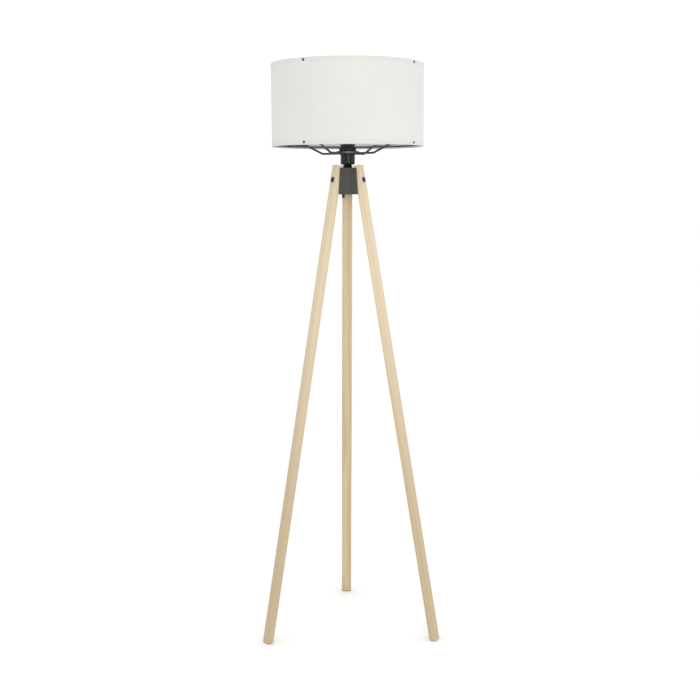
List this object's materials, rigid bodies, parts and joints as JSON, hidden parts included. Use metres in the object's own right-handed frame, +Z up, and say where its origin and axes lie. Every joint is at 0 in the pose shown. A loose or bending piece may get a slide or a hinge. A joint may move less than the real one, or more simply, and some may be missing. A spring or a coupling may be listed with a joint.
{
  "type": "tripod floor lamp",
  "caption": "Floor lamp with a white fabric drum shade on a wire spider, a screw lamp holder and a black cast hub on splayed wooden legs.",
  "frame": {"origin": "point on the floor straight below the lamp holder's axis, where the lines of the legs centre", "axes": "+Z up along the lamp holder; -Y is the front, between two legs; +Y points over the back leg"},
  "size_m": [0.452, 0.4445, 1.45],
  "materials": {
    "shade_cloth": "plain-weave cotton, off white",
    "shade_liner": "white film, satin",
    "hem_tape": "folded cotton tape, off white",
    "ring_wire": "black powder coat",
    "spider_wire": "black powder coat, satin",
    "rivet_metal": "black lacquer",
    "clip_steel": "zinc plated",
    "nut_plastic": "black thermoset, semi gloss",
    "holder_plastic": "black thermoset, semi gloss",
    "washer_steel": "zinc plated",
    "shell_brass": "bare, bright",
    "block_ceramic": "unglazed",
    "screw_steel": "zinc plated",
    "collar_metal": "black, satin",
    "tube_brass": "bare, threaded",
    "hub_casting": "charcoal powder coat, fine texture",
    "cover_plastic": "black, moulded",
    "gland_plastic": "black, moulded",
    "leg_wood": "pale wood, clear matt lacquer",
    "bolt_steel": "black oxide",
    "insert_brass": "bare",
    "felt": "pressed felt",
    "bulb_glass": "opal, satin",
    "bulb_cap": "rolled thread",
    "bulb_black": "vitrite glass insulator",
    "bulb_tip": "solder dot"
  },
  "bodies": {
    "stand": {"holder_skirt": "holder_plastic", "holder_body": "holder_plastic", "screw_shell": "shell_brass", "insulator_block": "block_ceramic", "centre_contact": "shell_brass", "terminal_screws": "screw_steel", "neck_collar": "collar_metal", "threaded_tube": "tube_brass", "tube_nut": "tube_brass", "tube_washer": "washer_steel", "hub": "hub_casting", "hub_cover": "cover_plastic", "cord_gland": "gland_plastic", "leg_left": "leg_wood", "leg_right": "leg_wood", "leg_back": "leg_wood", "leg_bolts": "bolt_steel", "threaded_inserts": "insert_brass", "foot_pads": "felt"},
    "shade": {"shade_cloth": "shade_cloth", "shade_liner": "shade_liner", "shade_top_hem": "hem_tape", "shade_bottom_hem": "hem_tape", "shade_top_ring": "ring_wire", "shade_bottom_ring": "ring_wire", "top_rivets": "rivet_metal", "bottom_rivets": "rivet_metal", "top_ring_clips": "clip_steel", "bottom_ring_clips": "clip_steel", "arm_front_right": "spider_wire", "arm_back_right": "spider_wire", "arm_back_left": "spider_wire", "arm_front_left": "spider_wire", "fitter_ring": "spider_wire"},
    "washer": {"clamp_washer": "washer_steel"},
    "nut": {"ring_nut": "nut_plastic"},
    "bulb_foot": {"bulb_insulator": "bulb_black", "bulb_tip": "bulb_tip"},
    "bulb": {"bulb_glass": "bulb_glass", "bulb_cap": "bulb_cap"}
  },
  "joints": [
    {"name": "shade_swivel", "type": "hinge", "parent": "stand", "child": "shade", "pos_m": [0, 0, 1.232], "axis": [0, 0, 1], "continuous": true},
    {"name": "ring_nut_lift", "type": "slide", "parent": "stand", "child": "washer", "axis": [0, 0, 1], "range_m": [0, 0.00501]},
    {"name": "ring_nut_turn", "type": "hinge", "parent": "washer", "child": "nut", "pos_m": [0, 0, 1.24], "axis": [0, 0, 1], "range_deg": [0, 720]},
    {"name": "bulb_lift", "type": "slide", "parent": "stand", "child": "bulb_foot", "axis": [0, 0, 1], "range_m": [0, 0.01816]},
    {"name": "bulb_turn", "type": "hinge", "parent": "bulb_foot", "child": "bulb", "pos_m": [0, 0, 1.28], "axis": [0, 0, 1], "range_deg": [0, 1800]}
  ],
  "couplings": [
    {"joint": "ring_nut_lift", "follows": "ring_nut_turn", "m_per_rad": 0.00039789},
    {"joint": "bulb_lift", "follows": "bulb_turn", "m_per_rad": 0.00057757}
  ]
}
